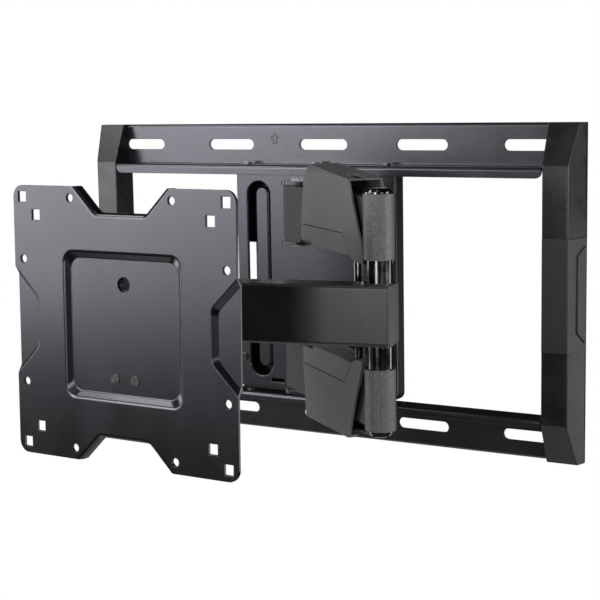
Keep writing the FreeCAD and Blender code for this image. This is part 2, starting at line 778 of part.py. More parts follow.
FACE_OUT = Rotation(Vector(1, 0, 0), 90)      # turns a screw's head towards the room
rivets = []
for side in (-1, 1):
    for height in TOP_RIVETS + LOW_RIVETS:
        front = -SIZES["rail_stand"] - SIZES["sheet_t"]
        at = Placement(Vector(channel_mid(side).value, front, height), FACE_OUT)
        rivets.append(head_and_shank(f"channel_rivet_{len(rivets)}", at, as_size(3.6), 1.0,
                                     sz("rivet_rad"), 2 * SIZES["sheet_t"]))
group("side_channel_rivets", rivets)

# ---------------------------------------------------------------- centre plate and its guide

CENTRE_W, CENTRE_FRONT, CENTRE_BACK = sz("centre_half_w"), sz("centre_front_y"), sz("centre_back_y")
CENTRE_TOP, CENTRE_LOW = sz("centre_top_z"), sz("centre_low_z")
BRACKET_RIVETS = [(x, z) for x in (-18.5, 18.5) for z in (56.0, 85.0)]

centre_plate = new_body("centre_plate")
rectangle(sketch_on(centre_plate, XZ, -CENTRE_BACK), -CENTRE_W, CENTRE_W, CENTRE_LOW, CENTRE_TOP)
pad(centre_plate, centre_plate.Group[-1], CENTRE_BACK - CENTRE_FRONT)
round_edges(centre_plate, runs_along("y", x=[CENTRE_W, -CENTRE_W], z=CENTRE_LOW), 7)
round_edges(centre_plate, lambda e: runs_along("z", x=[CENTRE_W, -CENTRE_W], y=CENTRE_FRONT)(e)
            or runs_along("x", z=[CENTRE_LOW, CENTRE_TOP], y=CENTRE_FRONT)(e), sz("bend_out"))
tray = sketch_on(centre_plate, XZ, -CENTRE_BACK)
rectangle(tray, SHEET - CENTRE_W, CENTRE_W - SHEET, CENTRE_LOW + SHEET, CENTRE_TOP - SHEET)
pocket(centre_plate, tray, CENTRE_BACK - CENTRE_FRONT - SHEET, back=True)
openings = sketch_on(centre_plate, XZ)
obround(openings, sz("window_x"), (sz("window_high_z") + sz("window_low_z")) / 2,
        sz("window_high_z") - sz("window_low_z"), sz("window_w"), upright=True)
rectangle(openings, -50, -34.5, -97, -93)
circle(openings, -78.6, -74, 2.0)
for sign in (1, -1):
    for x, z in BRACKET_RIVETS:
        circle(openings, x, sign * z, sz("rivet_rad"))
pocket(centre_plate, openings, 60, middle=True)
round_edges(centre_plate, lambda e: e.BoundBox.YLength < EPS
            and abs(e.BoundBox.YMin - CENTRE_FRONT.value) < EPS
            and abs(e.BoundBox.Center.x - SIZES["window_x"]) < 13 and e.BoundBox.ZLength > 10, 0.8)
flange_holes = sketch_on(centre_plate, XY, CENTRE_TOP + 1)
for x in LEDGE_SCREWS:
    circle(flange_holes, x, sz("ledge_screw_y"), sz("ledge_hole_rad"))
pocket(centre_plate, flange_holes, 300)

guide = new_body("cable_guide_plate")
rectangle(sketch_on(guide, XZ, -CENTRE_BACK), -CENTRE_W, -38, CENTRE_LOW + 4, CENTRE_TOP - 3)
pad(guide, guide.Group[-1], sz("guide_t"), back=True)
island = sketch_on(guide, XZ, -CENTRE_BACK)
ISLAND_MID = (sz("island_high_z") + sz("island_low_z")) / 2
ISLAND_LEN = sz("island_high_z") - sz("island_low_z")
obround(island, sz("island_x"), ISLAND_MID, ISLAND_LEN, sz("island_w"), upright=True)
pad(guide, island, CENTRE_BACK - sz("island_front_y"))
round_edges(guide, lambda e: e.BoundBox.YLength < EPS
            and abs(e.BoundBox.YMin - SIZES["island_front_y"]) < EPS, 1.4)
hollow = sketch_on(guide, XZ, -CENTRE_BACK - sz("guide_t"))
obround(hollow, sz("island_x"), ISLAND_MID, ISLAND_LEN - 3.2, sz("island_w") - 3.2, upright=True)
pocket(guide, hollow, CENTRE_BACK - sz("island_front_y"), back=True)
sight = sketch_on(guide, XZ)
rectangle(sight, -81.5, -73.3, -35, 35)
circle(sight, -78.6, -74, 2.0)
pocket(guide, sight, 60, middle=True)

guide_screw_at = Placement(Vector(-78.6, SIZES["centre_front_y"], -74), FACE_OUT)
guide_screw = head_and_shank("guide_plate_screw", guide_screw_at, as_size(3.4), 1.8, as_size(2.0), 18.0)
guide_screw.Label = "guide_plate_screw"
parts.append(guide_screw)

screws = []
for x in LEDGE_SCREWS:
    for z, length in ((SIZES["ledge_top_z"], 9.0), (SIZES["centre_low_z"] + SIZES["sheet_t"], 12.0)):
        at = Placement(Vector(x.value, SIZES["ledge_screw_y"], z), Rotation())
        screws.append(head_and_shank(f"ledge_screw_{len(screws)}", at, as_size(4.4), 2.6,
                                     sz("ledge_hole_rad"), length, hexagon=True))
group("ledge_screws", screws)

spacers = []
for number, x in enumerate(LEDGE_SCREWS):
    spacer = new_body(f"spacer_{number}", Placement(Vector(x.value, SIZES["ledge_screw_y"], 0), Rotation()))
    sketch = sketch_on(spacer, XY, sz("low_ledge_z"))
    circle(sketch, 0, 0, 6)
    circle(sketch, 0, 0, sz("ledge_hole_rad"))
    pad(spacer, sketch, CENTRE_LOW - sz("low_ledge_z"))
    spacers.append(spacer)
group("centre_plate_spacers", spacers)

# ---------------------------------------------------------------- wall pivot

ARM_LOW, ARM_HIGH = sz("arm_low_z"), sz("arm_high_z")
FLANGE = sz("bush_flange_t")
EAR_GAP = FLANGE + 0.1
PIVOT_Y = sz("pivot_y")


def pivot_bracket(label, sign):
    """Channel riveted to the centre plate whose two ears hold one arm's pivot bolt."""
    body = new_body(label)
    low, high = ARM_LOW - EAR_GAP - sz("ear_t"), ARM_HIGH + EAR_GAP + sz("ear_t")
    span = (low, high) if sign > 0 else (-high, -low)
    web = sketch_on(body, XZ, -CENTRE_FRONT)
    rectangle(web, -sz("bracket_half_w"), sz("bracket_half_w"), *span)
    pad(body, web, SHEET)
    for bottom in (low, high - sz("ear_t")):
        ear = sketch_on(body, XY, bottom if sign > 0 else -bottom - sz("ear_t"))
        half_w, tip_y = sz("ear_half_w"), PIVOT_Y - sz("ear_half_w")
        polygon(ear, [(-sz("bracket_half_w"), CENTRE_FRONT), (-half_w, PIVOT_Y), (-half_w, tip_y),
                      (half_w, tip_y), (half_w, PIVOT_Y), (sz("bracket_half_w"), CENTRE_FRONT)])
        pad(body, ear, sz("ear_t"))
    round_edges(body, runs_along("z", x=[half_w, -half_w], y=tip_y), 11)
    bore = sketch_on(body, XY, 0)
    circle(bore, 0, PIVOT_Y, sz("pin_rad"))
    pocket(body, bore, 240, middle=True)
    holes = sketch_on(body, XZ)
    for x, z in BRACKET_RIVETS:
        circle(holes, x, sign * z, sz("rivet_rad"))
    pocket(body, holes, 80, middle=True)
    return body


pivot_bracket("upper_pivot_bracket", 1)
pivot_bracket("lower_pivot_bracket", -1)

rivets = []
for sign in (1, -1):
    for x, z in BRACKET_RIVETS:
        at = Placement(Vector(x, SIZES["centre_front_y"] - SIZES["sheet_t"], sign * z), FACE_OUT)
        rivets.append(head_and_shank(f"bracket_rivet_{len(rivets)}", at, as_size(3.2), 1.4,
                                     sz("rivet_rad"), 2 * SIZES["sheet_t"]))
group("pivot_bracket_rivets", rivets)

EAR_TOP = SIZES["arm_high_z"] + SIZES["bush_flange_t"] + 0.1 + SIZES["ear_t"]
EAR_LOW = SIZES["arm_low_z"] - SIZES["bush_flange_t"] - 0.1 - SIZES["ear_t"]
NUT_HIGH = 2.2
bolts, nuts = [], []
for top, low in ((EAR_TOP, EAR_LOW), (-EAR_LOW, -EAR_TOP)):
    at = Placement(Vector(0, SIZES["pivot_y"], top), Rotation())
    bolts.append(head_and_shank(f"pivot_bolt_{len(bolts)}", at, as_size(8.8), 2.5, sz("pin_rad"),
                                top - low + NUT_HIGH, hexagon=True))
    below = Placement(Vector(0, SIZES["pivot_y"], low), Rotation())
    nuts.append(hex_nut(f"pivot_nut_{len(nuts)}", below, 8.8, sz("pin_rad"), NUT_HIGH))
group("wall_pivot_bolts", bolts)
group("wall_pivot_nuts", nuts)

# ---------------------------------------------------------------- arms

ARM_LEN = sz("arm_len")
BARREL_TOP, BARREL_END = sz("barrel_top_z"), sz("barrel_end_z")


def mirrored(points, sign):
    return [(x, sign * as_size(z)) for x, z in points]


def arm(label, sign):
    """Cast arm: a flat-sided shoulder at the wall and a barrel at the elbow, joined by an upright web."""
    body = new_body(label, ARM_FRAME)
    low, high = (ARM_LOW, ARM_HIGH) if sign > 0 else (-ARM_HIGH, -ARM_LOW)
    web = sketch_on(body, XY, low)
    rectangle(web, 4, ARM_LEN - 4, -sz("web_half_t"), sz("web_half_t"))
    pad(body, web, high - low)
    round_edges(body, lambda e: runs_along("x", y=[sz("web_half_t"), -sz("web_half_t")])(e), 1.5)
    shoulder = sketch_on(body, XZ)
    foot, back_z = sz("shoulder_foot_x"), sz("cover_back_mid_z")
    polygon(shoulder, mirrored([
        (0, ARM_LOW), (foot, ARM_LOW), (foot + 9, back_z), (sz("shoulder_len"), back_z + 3.5),
        (sz("shoulder_len"), ARM_HIGH), (0, ARM_HIGH)], sign))
    pad(body, shoulder, sz("shoulder_half_w") * 2, middle=True)
    barrel_low, barrel_high = (ARM_LOW, BARREL_TOP) if sign > 0 else (BARREL_END, -ARM_LOW)
    barrel = sketch_on(body, XY, barrel_low)
    circle(barrel, ARM_LEN, 0, sz("barrel_rad"))
    pad(body, barrel, barrel_high - barrel_low)
    end = sketch_on(body, XY, low)
    circle(end, 0, 0, sz("shoulder_rad"))
    pad(body, end, high - low)
    flats = sketch_on(body, XY, low)
    reach = sz("shoulder_rad") + 1
    for side in (-1, 1):
        rectangle(flats, -reach, reach, side * sz("shoulder_half_w"), side * reach)
    pocket(body, flats, 240, middle=True)
    bores = sketch_on(body, XY, low)
    circle(bores, 0, 0, sz("bush_rad"))
    circle(bores, ARM_LEN, 0, sz("elbow_pin_rad"))
    pocket(body, bores, 240, middle=True)
    sockets = sketch_on(body, XY, sign * ARM_LOW)
    circle(sockets, sz("tie_x"), 0, sz("tie_rad"))
    pocket(body, sockets, sz("tie_sink"), back=sign > 0)
    return body


arm("upper_arm", 1)
arm("lower_arm", -1)

bushes = []
for base, flange_up in ((ARM_LOW, False), (ARM_HIGH, True), (-ARM_LOW, True), (-ARM_HIGH, False)):
    bush = new_body(f"wall_bush_{len(bushes)}", ARM_FRAME)
    step = 1 if flange_up else -1
    inner = sz("pin_rad") + sz("run_fit")
    polygon(sketch_on(bush, XZ), [
        (inner, base - 12 * step), (sz("bush_rad"), base - 12 * step), (sz("bush_rad"), base),
        (sz("bush_flange_rad"), base), (sz("bush_flange_rad"), base + FLANGE * step),
        (inner, base + FLANGE * step)])
    revolve(bush, bush.Group[-1])
    bushes.append(bush)
group("wall_pivot_bushings", bushes)


def cover_side(low):
    """Outline of a cover seen from the side: the lower arm's is a little shorter and blunter."""
    if low:
        back = [(sz("low_top_back_x"), sz("low_top_back_z"))]
        front = [(sz("low_top_front_x"), sz("low_top_front_z"))]
        nose = sz("low_nose_x")
    else:
        back = [(sz("cover_back_high_x"), sz("cover_back_high_z")),
                (sz("cover_top_back_x"), sz("cover_top_back_z"))]
        front = [(sz("cover_top_front_x"), sz("cover_top_front_z"))]
        nose = sz("cover_nose_x")
    return [(sz("cover_back_low_x"), sz("cover_low_z")), (sz("cover_back_mid_x"), sz("cover_back_mid_z")), *back,
            *front, (nose, sz("cover_nose_high_z")), (nose + 2, sz("cover_nose_low_z")),
            (sz("cover_foot_x"), sz("cover_nose_low_z")), (sz("door_foot_x"), sz("cover_low_z"))]


def cover_shell(label, sign, side, outline_points):
    """Half of a thin plastic shell beside an arm's web, from its outline seen from the side."""
    body = new_body(label, ARM_FRAME)
    wall, gap = sz("cover_wall"), sz("cover_gap")
    half = sz("cover_rear_w") if side > 0 else sz("cover_front_w")
    outline = sketch_on(body, XZ, -side * gap)
    polygon(outline, mirrored(outline_points, sign))
    pad(body, outline, half - gap, back=side > 0)
    shape = sketch_on(body, YZ, -5)
    bevel, lean = sz("cover_top_bevel"), sz("cover_lean")
    top, middle, bottom = sz("cover_top_back_z"), sz("cover_back_mid_z"), sz("cover_nose_low_z") - 1
    outside, skin = side * (half + 1), side * half
    polygon(shape, mirrored([
        (outside, top + 1), (skin - side * bevel, top + 1), (skin, top - 6), (outside, top - 6)], sign))
    polygon(shape, mirrored([
        (outside, middle), (skin, middle), (skin - side * lean, bottom), (outside, bottom)], sign))
    pocket(body, shape, 240, back=True)
    hollow = sketch_on(body, YZ, -5)
    inside, floor = side * (half - wall), sz("cover_low_z") + wall
    polygon(hollow, mirrored([
        (0, floor), (inside - side * lean, floor), (inside, middle + 2), (inside, top - 10),
        (0, top - 10)], sign))
    pocket(body, hollow, 240, back=True)
    clearance_for_arm(body, sign, sz("cover_nose_x") + 6, sz("web_half_t") + 0.4)
    clearance_for_arm(body, sign, sz("shoulder_len") + 0.6, sz("shoulder_half_w") + 0.4)
    return body


def clearance_for_arm(body, sign, reach, half_w):
    """Room inside a cover for the arm, from the wall pivot as far as reach."""
    room = sketch_on(body, XZ)
    polygon(room, mirrored([
        (0, ARM_LOW - 0.6), (reach, ARM_LOW - 0.6), (reach, ARM_HIGH + 0.6), (0, ARM_HIGH + 0.6)], sign))
    pocket(body, room, 2 * half_w, middle=True)


def thin_the_top(body, sign, low):
    """Hollow the broad edge of a cover to an even wall under its slope."""
    (back_x, back_z), (front_x, front_z) = cover_side(low)[-6:-4]
    under = sketch_on(body, XZ)
    wall, floor = sz("cover_wall"), ARM_HIGH + 0.6
    near, far = back_x + 3, front_x - 3
    polygon(under, mirrored([(near, floor), (far, floor), (far, front_z - wall), (near, back_z - wall)], sign))
    pocket(body, under, 2 * (sz("cover_front_w") - wall - sz("cover_top_bevel")), middle=True)


def clear_the_elbow(body):
    """Keep the nose of a cover clear of the elbow barrel and what is under it."""
    barrel = sketch_on(body, XY)
    circle(barrel, ARM_LEN, 0, sz("barrel_rad") + sz("barrel_gap"))
    pocket(body, barrel, 300, middle=True)


def seam_slot(body, sign):
    """One half of the cable slot across the seam on the cover's broad edge."""
    slot = sketch_on(body, XY, sign * (sz("cover_top_back_z") + 1))
    obround(slot, sz("seam_slot_x"), 0, sz("seam_slot_len"), sz("seam_slot_wide"))
    pocket(body, slot, 14, back=sign < 0)


DOOR_TOP, DOOR_FRONT, DOOR_FOOT = sz("cover_back_mid_z"), sz("door_front_x"), sz("door_foot_x")
DOOR_GAP = sz("door_gap")


def cable_door(level, sign, front_cover):
    """Clip-in strip along the low edge of the front cover, over the cable channel."""
    cut = sketch_on(front_cover, XZ)
    back = sz("cover_back_low_x") - 2
    polygon(cut, mirrored([(back, sz("cover_low_z") - 1), (back, DOOR_TOP), (DOOR_FRONT, DOOR_TOP),
                           (DOOR_FOOT, sz("cover_low_z")), (DOOR_FOOT, sz("cover_low_z") - 1)], sign))
    pocket(front_cover, cut, sz("cover_front_w") + 1, back=True)
    low_x, mid_x = (sz(name) + sz("door_back_gap") for name in ("cover_back_low_x", "cover_back_mid_x"))
    cover_shell(f"{level}_cable_door", sign, -1, [
        (low_x, sz("cover_low_z")), (mid_x - DOOR_GAP * 0.5, DOOR_TOP - DOOR_GAP),
        (DOOR_FRONT - DOOR_GAP, DOOR_TOP - DOOR_GAP), (DOOR_FOOT - DOOR_GAP * 1.4, sz("cover_low_z"))])


for level, sign in (("upper", 1), ("lower", -1)):
    halves = [cover_shell(f"{level}_cover_{name}", sign, side, cover_side(sign < 0))
              for name, side in (("rear", 1), ("front", -1))]
    for half in halves:
        thin_the_top(half, sign, sign < 0)
        clear_the_elbow(half)
        seam_slot(half, sign)
    cable_door(level, sign, halves[1])

tie = new_body("tie_rod", ARM_FRAME)
circle(sketch_on(tie, XY), sz("tie_x"), 0, sz("tie_rad"))
pad(tie, tie.Group[-1], 2 * (ARM_LOW + sz("tie_sink")), middle=True)

# ---------------------------------------------------------------- elbow

ELBOW_AT = Placement(Vector(SIZES["arm_len"], 0, 0), Rotation())
ELBOW_FRAME = ARM_FRAME.multiply(ELBOW_AT)
PIN = sz("elbow_pin_rad")

pin = new_body("elbow_pin", ELBOW_FRAME)
circle(sketch_on(pin, XY, BARREL_END), 0, 0, PIN)
pad(pin, pin.Group[-1], BARREL_TOP - BARREL_END)

CAP_R, CAP_H = sz("elbow_cap_rad"), sz("elbow_cap_high")
turned_body("elbow_top_cap", ELBOW_FRAME, [
    (0, BARREL_TOP), (CAP_R, BARREL_TOP), (CAP_R, BARREL_TOP + 1.6), (CAP_R - 1.2, BARREL_TOP + 3.3),
    (CAP_R - 4.0, BARREL_TOP + 4.5), (0, BARREL_TOP + CAP_H)])
NUT_R = sz("elbow_nut_rad")
turned_body("elbow_bottom_cap", ELBOW_FRAME, [
    (0, BARREL_END), (0, BARREL_END - 5.4), (NUT_R - 2.2, BARREL_END - 5.4), (NUT_R, BARREL_END - 4.0),
    (NUT_R, BARREL_END - 2.2), (NUT_R + 1.4, BARREL_END - 2.2), (NUT_R + 1.4, BARREL_END)])

FORE_H = sz("forearm_half_h")
sleeves = []
for low in (FORE_H + FLANGE + 0.1, -ARM_LOW):
    sleeve = new_body(f"sleeve_{len(sleeves)}", ELBOW_FRAME)
    sketch = sketch_on(sleeve, XY, low)
    circle(sketch, 0, 0, sz("sleeve_rad"))
    circle(sketch, 0, 0, PIN)
    pad(sleeve, sketch, ARM_LOW - FORE_H - FLANGE - 0.1)
    sleeves.append(sleeve)
group("elbow_sleeves", sleeves)

# ---------------------------------------------------------------- forearm

FORE_W, FORE_LEN, PAST = sz("forearm_half_w"), sz("forearm_len"), sz("forearm_past")
WALL_T = sz("forearm_wall")

tube = new_body("forearm_tube", FOREARM_FRAME)
rectangle(sketch_on(tube, YZ, -PAST), -FORE_W, FORE_W, -FORE_H, FORE_H)
pad(tube, tube.Group[-1], FORE_LEN + PAST * 2)
round_edges(tube, lambda e: runs_along("x", y=[FORE_W, -FORE_W])(e), sz("forearm_edge_rad"))
inside = sketch_on(tube, YZ, -PAST - 1)
rectangle(inside, WALL_T - FORE_W, FORE_W - WALL_T, WALL_T - FORE_H, FORE_H - WALL_T)
pocket(tube, inside, FORE_LEN + PAST * 2 + 2, back=True)
bores = sketch_on(tube, XY)
for x in (0, FORE_LEN):
    circle(bores, x, 0, sz("hub_rad"))
pocket(tube, bores, FORE_H * 2 + 2, middle=True)

BUSH_WALL = 1.2
for name, x, bore in (("elbow", 0, PIN), ("head", SIZES["forearm_len"], sz("head_pin_rad"))):
    at = FOREARM_FRAME.multiply(Placement(Vector(x, 0, 0), Rotation()))
    ring(f"forearm_{name}_hub", at, sz("hub_rad"), bore + BUSH_WALL, -FORE_H, FORE_H * 2)
    bushes = []
    for step in (1, -1):
        bush = new_body(f"{name}_bush_{len(bushes)}", at)
        inner = bore + sz("run_fit")
        outer = bore + BUSH_WALL
        polygon(sketch_on(bush, XZ), [
            (inner, step * (FORE_H - 14)), (outer, step * (FORE_H - 14)), (outer, step * FORE_H),
            (sz("sleeve_rad") + 0.3, step * FORE_H), (sz("sleeve_rad") + 0.3, step * (FORE_H + FLANGE)),
            (inner, step * (FORE_H + FLANGE))])
        revolve(bush, bush.Group[-1])
        bushes.append(bush)
    group(f"forearm_{name}_bushings", bushes)

TUBE_ENDS = (("elbow", -SIZES["forearm_past"], 180),
             ("head", SIZES["forearm_len"] + SIZES["forearm_past"], 0))
for name, x, turn in TUBE_ENDS:
    plug = new_body(f"forearm_{name}_plug", FOREARM_FRAME.multiply(turned(x, 0, turn)))
    face = sketch_on(plug, YZ)
    rectangle(face, 0.3 - FORE_W, FORE_W - 0.3, 0.3 - FORE_H, FORE_H - 0.3)
    pad(plug, face, sz("plug_t"))
    round_edges(plug, lambda e: runs_along("x")(e), 2.7)

# ---------------------------------------------------------------- head: swivel yoke

HEAD_PIN = sz("head_pin_rad")
EAR_Z = FORE_H + FLANGE + 0.2
YOKE_EAR_T, YOKE_R = sz("yoke_ear_t"), sz("yoke_ear_rad")
WEB_Y, WEB_T = sz("yoke_web_y"), sz("yoke_web_t")
YOKE_H = EAR_Z + YOKE_EAR_T
CHEEK_IN, CHEEK_T = sz("cheek_in_x"), sz("cheek_t")
TILT_Y, CHEEK_R = sz("tilt_y"), sz("cheek_rad")

yoke = new_body("swivel_yoke", HEAD_FRAME)
for low in (EAR_Z, -YOKE_H):
    ear = sketch_on(yoke, XY, low)
    rectangle(ear, -YOKE_R, YOKE_R, WEB_Y, YOKE_R)
    pad(yoke, ear, YOKE_EAR_T)
web = sketch_on(yoke, XZ, -WEB_Y)
rectangle(web, -YOKE_R, YOKE_R, -YOKE_H, YOKE_H)
pad(yoke, web, WEB_T)
plate = sketch_on(yoke, XZ, WEB_T - WEB_Y)
rectangle(plate, -CHEEK_IN - CHEEK_T, CHEEK_IN + CHEEK_T, -CHEEK_R, CHEEK_R)
pad(yoke, plate, WEB_T)
for side in (-1, 1):
    cheek = sketch_on(yoke, YZ, side * CHEEK_IN)
    rectangle(cheek, TILT_Y - CHEEK_R, WEB_Y - WEB_T, -CHEEK_R, CHEEK_R)
    pad(yoke, cheek, CHEEK_T, back=side < 0)
round_edges(yoke, runs_along("z", x=[YOKE_R, -YOKE_R], y=YOKE_R), YOKE_R - 1)
round_edges(yoke, runs_along("x", y=TILT_Y - CHEEK_R, z=[CHEEK_R, -CHEEK_R]), CHEEK_R - 1)
bore = sketch_on(yoke, XY)
circle(bore, 0, 0, HEAD_PIN)
pocket(yoke, bore, 120, middle=True)
bore = sketch_on(yoke, YZ)
circle(bore, TILT_Y, 0, sz("tilt_pin_rad"))
pocket(yoke, bore, 120, middle=True)

YOKE_TOP = YOKE_H.value
head_bolt = head_and_shank("swivel_bolt", HEAD_FRAME.multiply(Placement(Vector(0, 0, YOKE_TOP), Rotation())),
                           as_size(10.4), 6.0, HEAD_PIN, 2 * YOKE_TOP + 8.0, hexagon=True)
head_bolt.Label = "swivel_bolt"
parts.append(head_bolt)


parts.append(hex_nut("swivel_nut", HEAD_FRAME.multiply(Placement(Vector(0, 0, -YOKE_TOP), Rotation())),
                     10.4, HEAD_PIN, 6.5))

# tilt bolt across the cheeks, its friction washers and nut
ALONG_X = Rotation(Vector(0, 1, 0), 90)
cheek_out = (CHEEK_IN + CHEEK_T).value
tilt_bolt_at = HEAD_FRAME.multiply(Placement(Vector(cheek_out, SIZES["tilt_y"], 0), ALONG_X))
tilt_bolt = head_and_shank("tilt_bolt", tilt_bolt_at, as_size(9.0), 4.4, sz("tilt_pin_rad"),
                           2 * cheek_out + 6.0, hexagon=True)
tilt_bolt.Label = "tilt_bolt"
parts.append(tilt_bolt)
tilt_nut_at = HEAD_FRAME.multiply(Placement(Vector(-cheek_out, SIZES["tilt_y"], 0), ALONG_X))
parts.append(hex_nut("tilt_nut", tilt_nut_at, 9.0, sz("tilt_pin_rad"), 5.0))

# ---------------------------------------------------------------- tilt bracket

FRONT = sz("screen_front_y")
FLOOR_BACK = FRONT + SHEET + sz("recess_deep")     # back of the pressed-in middle of the screen plate
BR_T, BR_H, BR_W = sz("bracket_t"), sz("bracket_half_h"), sz("bracket_base_half_w")
CHEEK2_OUT = CHEEK_IN - sz("tilt_washer_t") - 0.1
WASHER_R = sz("tilt_washer_rad")

bracket = new_body("tilt_bracket", TILT_FRAME)
base = sketch_on(bracket, XZ, -FLOOR_BACK - BR_T)
rectangle(base, -BR_W, BR_W, -BR_H, BR_H)
pad(bracket, base, BR_T)
round_edges(bracket, runs_along("y", x=[BR_W, -BR_W]), 5)
for side in (-1, 1):
    cheek = sketch_on(bracket, YZ, side * (CHEEK2_OUT - BR_T))
    rectangle(cheek, FLOOR_BACK + BR_T, TILT_Y + WASHER_R, -WASHER_R, WASHER_R)
    pad(bracket, cheek, BR_T, back=side < 0)
round_edges(bracket, runs_along("x", y=TILT_Y + WASHER_R, z=[WASHER_R, -WASHER_R]), WASHER_R - 1)
bore = sketch_on(bracket, YZ)
circle(bore, TILT_Y, 0, sz("tilt_pin_rad") + 1.2)
pocket(bracket, bore, 60, middle=True)
holes = sketch_on(bracket, XZ)
for side in (-1, 1):
    circle(holes, side * sz("plate_screw_x"), sz("plate_screw_z") - sz("plate_drop"), 2.5)
circle(holes, 0, sz("hook_hole_z") - sz("plate_drop"), sz("hook_hole_rad") - 1)
pocket(bracket, holes, 240, middle=True)

washers = []
for side in (-1, 1):
    at = TILT_FRAME.multiply(Placement(Vector(side * CHEEK2_OUT.value, SIZES["tilt_y"], 0),
                                       Rotation(Vector(0, 1, 0), 90 * side)))
    washer = new_body(f"tilt_washer_{len(washers)}", at)
    polygon(sketch_on(washer, XZ), [
        (sz("tilt_pin_rad") + sz("run_fit"), -BR_T), (sz("tilt_pin_rad") + 1.2, -BR_T),
        (sz("tilt_pin_rad") + 1.2, 0), (WASHER_R, 0), (WASHER_R, sz("tilt_washer_t")),
        (sz("tilt_pin_rad") + sz("run_fit"), sz("tilt_washer_t"))])
    revolve(washer, washer.Group[-1])
    washers.append(washer)
group("tilt_friction_washers", washers)

screws = []
for side in (-1, 1):
    face = FRONT + sz("recess_deep")
    place = Vector(side * SIZES["plate_screw_x"], face.value, SIZES["plate_screw_z"])
    at = SCREEN_FRAME.multiply(Placement(place, FACE_OUT))
    screws.append(head_and_shank(f"plate_screw_{side}", at, as_size(3.8), 0.7, as_size(2.5), 9.0))
group("screen_plate_screws", screws)

# ---------------------------------------------------------------- screen plate

HALF, NOTCH_Z = sz("screen_half"), sz("notch_floor_z")
NOTCH_EDGE, NOTCH_FLOOR = sz("notch_edge_half"), sz("notch_floor_half")
SHEET_BACK = FRONT + SHEET

screen = new_body("screen_plate", SCREEN_FRAME)
rectangle(sketch_on(screen, XZ, -SHEET_BACK), -HALF, HALF, -HALF, HALF)
pad(screen, screen.Group[-1], SHEET)
round_edges(screen, runs_along("y", x=[HALF, -HALF]), sz("screen_corner_rad"))

# the middle of the plate is pressed back, with sloping walls
DEEP, SLOPE, SKIN = sz("recess_deep"), sz("recess_slope"), 1.6


def recess_sketch(y, shrink):
    half_w, half_h = sz("recess_half_w") - shrink, sz("recess_half_h") - shrink
    return rounded_rectangle(sketch_on(screen, XZ, -y), half_w, half_h, sz("recess_rad"))


def side_sketch(y, side, share, grow):
    """The shallow dish at the middle of each side; share 0 is its rim and 1 its floor."""
    rim = [(sz("side_edge_half"), HALF), (sz("side_inner_half"), sz("side_inner_x"))]
    floor = [(sz("side_floor_edge_half"), HALF), (sz("side_floor_half"), sz("side_floor_x"))]
    (z_edge, x_edge), (z_in, x_in) = (
        tuple(a + (b - a) * share for a, b in zip(one, two)) for one, two in zip(rim, floor))
    past = 4.0
    near, far = side * (x_in - grow), side * (x_edge + past)
    z_near, z_far = z_in + grow * 0.4, z_edge + past + grow * 1.4
    return polygon(sketch_on(screen, XZ, -y), [(near, z_near), (far, z_far), (far, -z_far), (near, -z_near)])


def flat_at(y):
    """A test for edges whose ends lie in the plane at y."""
    return lambda e: all(abs(end.Y - y.value) < EPS for end in e.Vertexes)


def within(edge, half_w, half_h):
    """Whether both ends of an edge lie inside a rectangle about the plate's middle."""
    return all(abs(end.X) < half_w.value + EPS and abs(end.Z) < half_h.value + EPS for end in edge.Vertexes)


INSIDE = SHEET_BACK - 1.0
loft(screen, "AdditiveLoft", [recess_sketch(INSIDE, as_size(0.8 - SKIN)),
                              recess_sketch(FLOOR_BACK, SLOPE - SKIN)])
for side in (-1, 1):
    loft(screen, "AdditiveLoft", [side_sketch(INSIDE, side, 0.15, SKIN),
                                  side_sketch(FRONT + SHEET + sz("side_deep"), side, 1.0, SKIN)])
overhang = sketch_on(screen, XZ)
rectangle(overhang, HALF, HALF + 12, -HALF, HALF)
rectangle(overhang, -HALF - 12, -HALF, -HALF, HALF)
pocket(screen, overhang, 240, middle=True)
loft(screen, "SubtractiveLoft", [recess_sketch(FRONT, as_size(0)), recess_sketch(FRONT + DEEP, SLOPE)])
for side in (-1, 1):
    loft(screen, "SubtractiveLoft", [side_sketch(FRONT, side, 0.0, 0.0),
                                     side_sketch(FRONT + sz("side_deep"), side, 1.0, 0.0)])

# notches at top and bottom, each with a lip folded back along it
notches = sketch_on(screen, XZ)
for up in (1, -1):
    polygon(notches, [(-NOTCH_EDGE - 2, up * (HALF + 2)), (-NOTCH_FLOOR, up * NOTCH_Z),
                      (NOTCH_FLOOR, up * NOTCH_Z), (NOTCH_EDGE + 2, up * (HALF + 2))])
pocket(screen, notches, 240, middle=True)
for up in (1, -1):
    lip = sketch_on(screen, XZ, -FRONT - sz("notch_lip"))
    side_shift, floor_shift = SHEET * 1.41, SHEET * 0.41
    polygon(lip, [(NOTCH_EDGE, up * HALF), (NOTCH_FLOOR, up * NOTCH_Z), (-NOTCH_FLOOR, up * NOTCH_Z),
                  (-NOTCH_EDGE, up * HALF), (-NOTCH_EDGE - side_shift, up * HALF),
                  (-NOTCH_FLOOR - floor_shift, up * (NOTCH_Z - SHEET)),
                  (NOTCH_FLOOR + floor_shift, up * (NOTCH_Z - SHEET)), (NOTCH_EDGE + side_shift, up * HALF)])
    pad(screen, lip, sz("notch_lip") - SHEET)
round_edges(screen, runs_along("y", x=[NOTCH_FLOOR, -NOTCH_FLOOR], z=[NOTCH_Z, -NOTCH_Z]),
            sz("notch_corner_rad"))
round_edges(screen, lambda e: flat_at(FRONT)(e) and abs(e.BoundBox.Center.x) < 40
            and 85 < abs(e.BoundBox.Center.z) < 108, sz("notch_bend"))

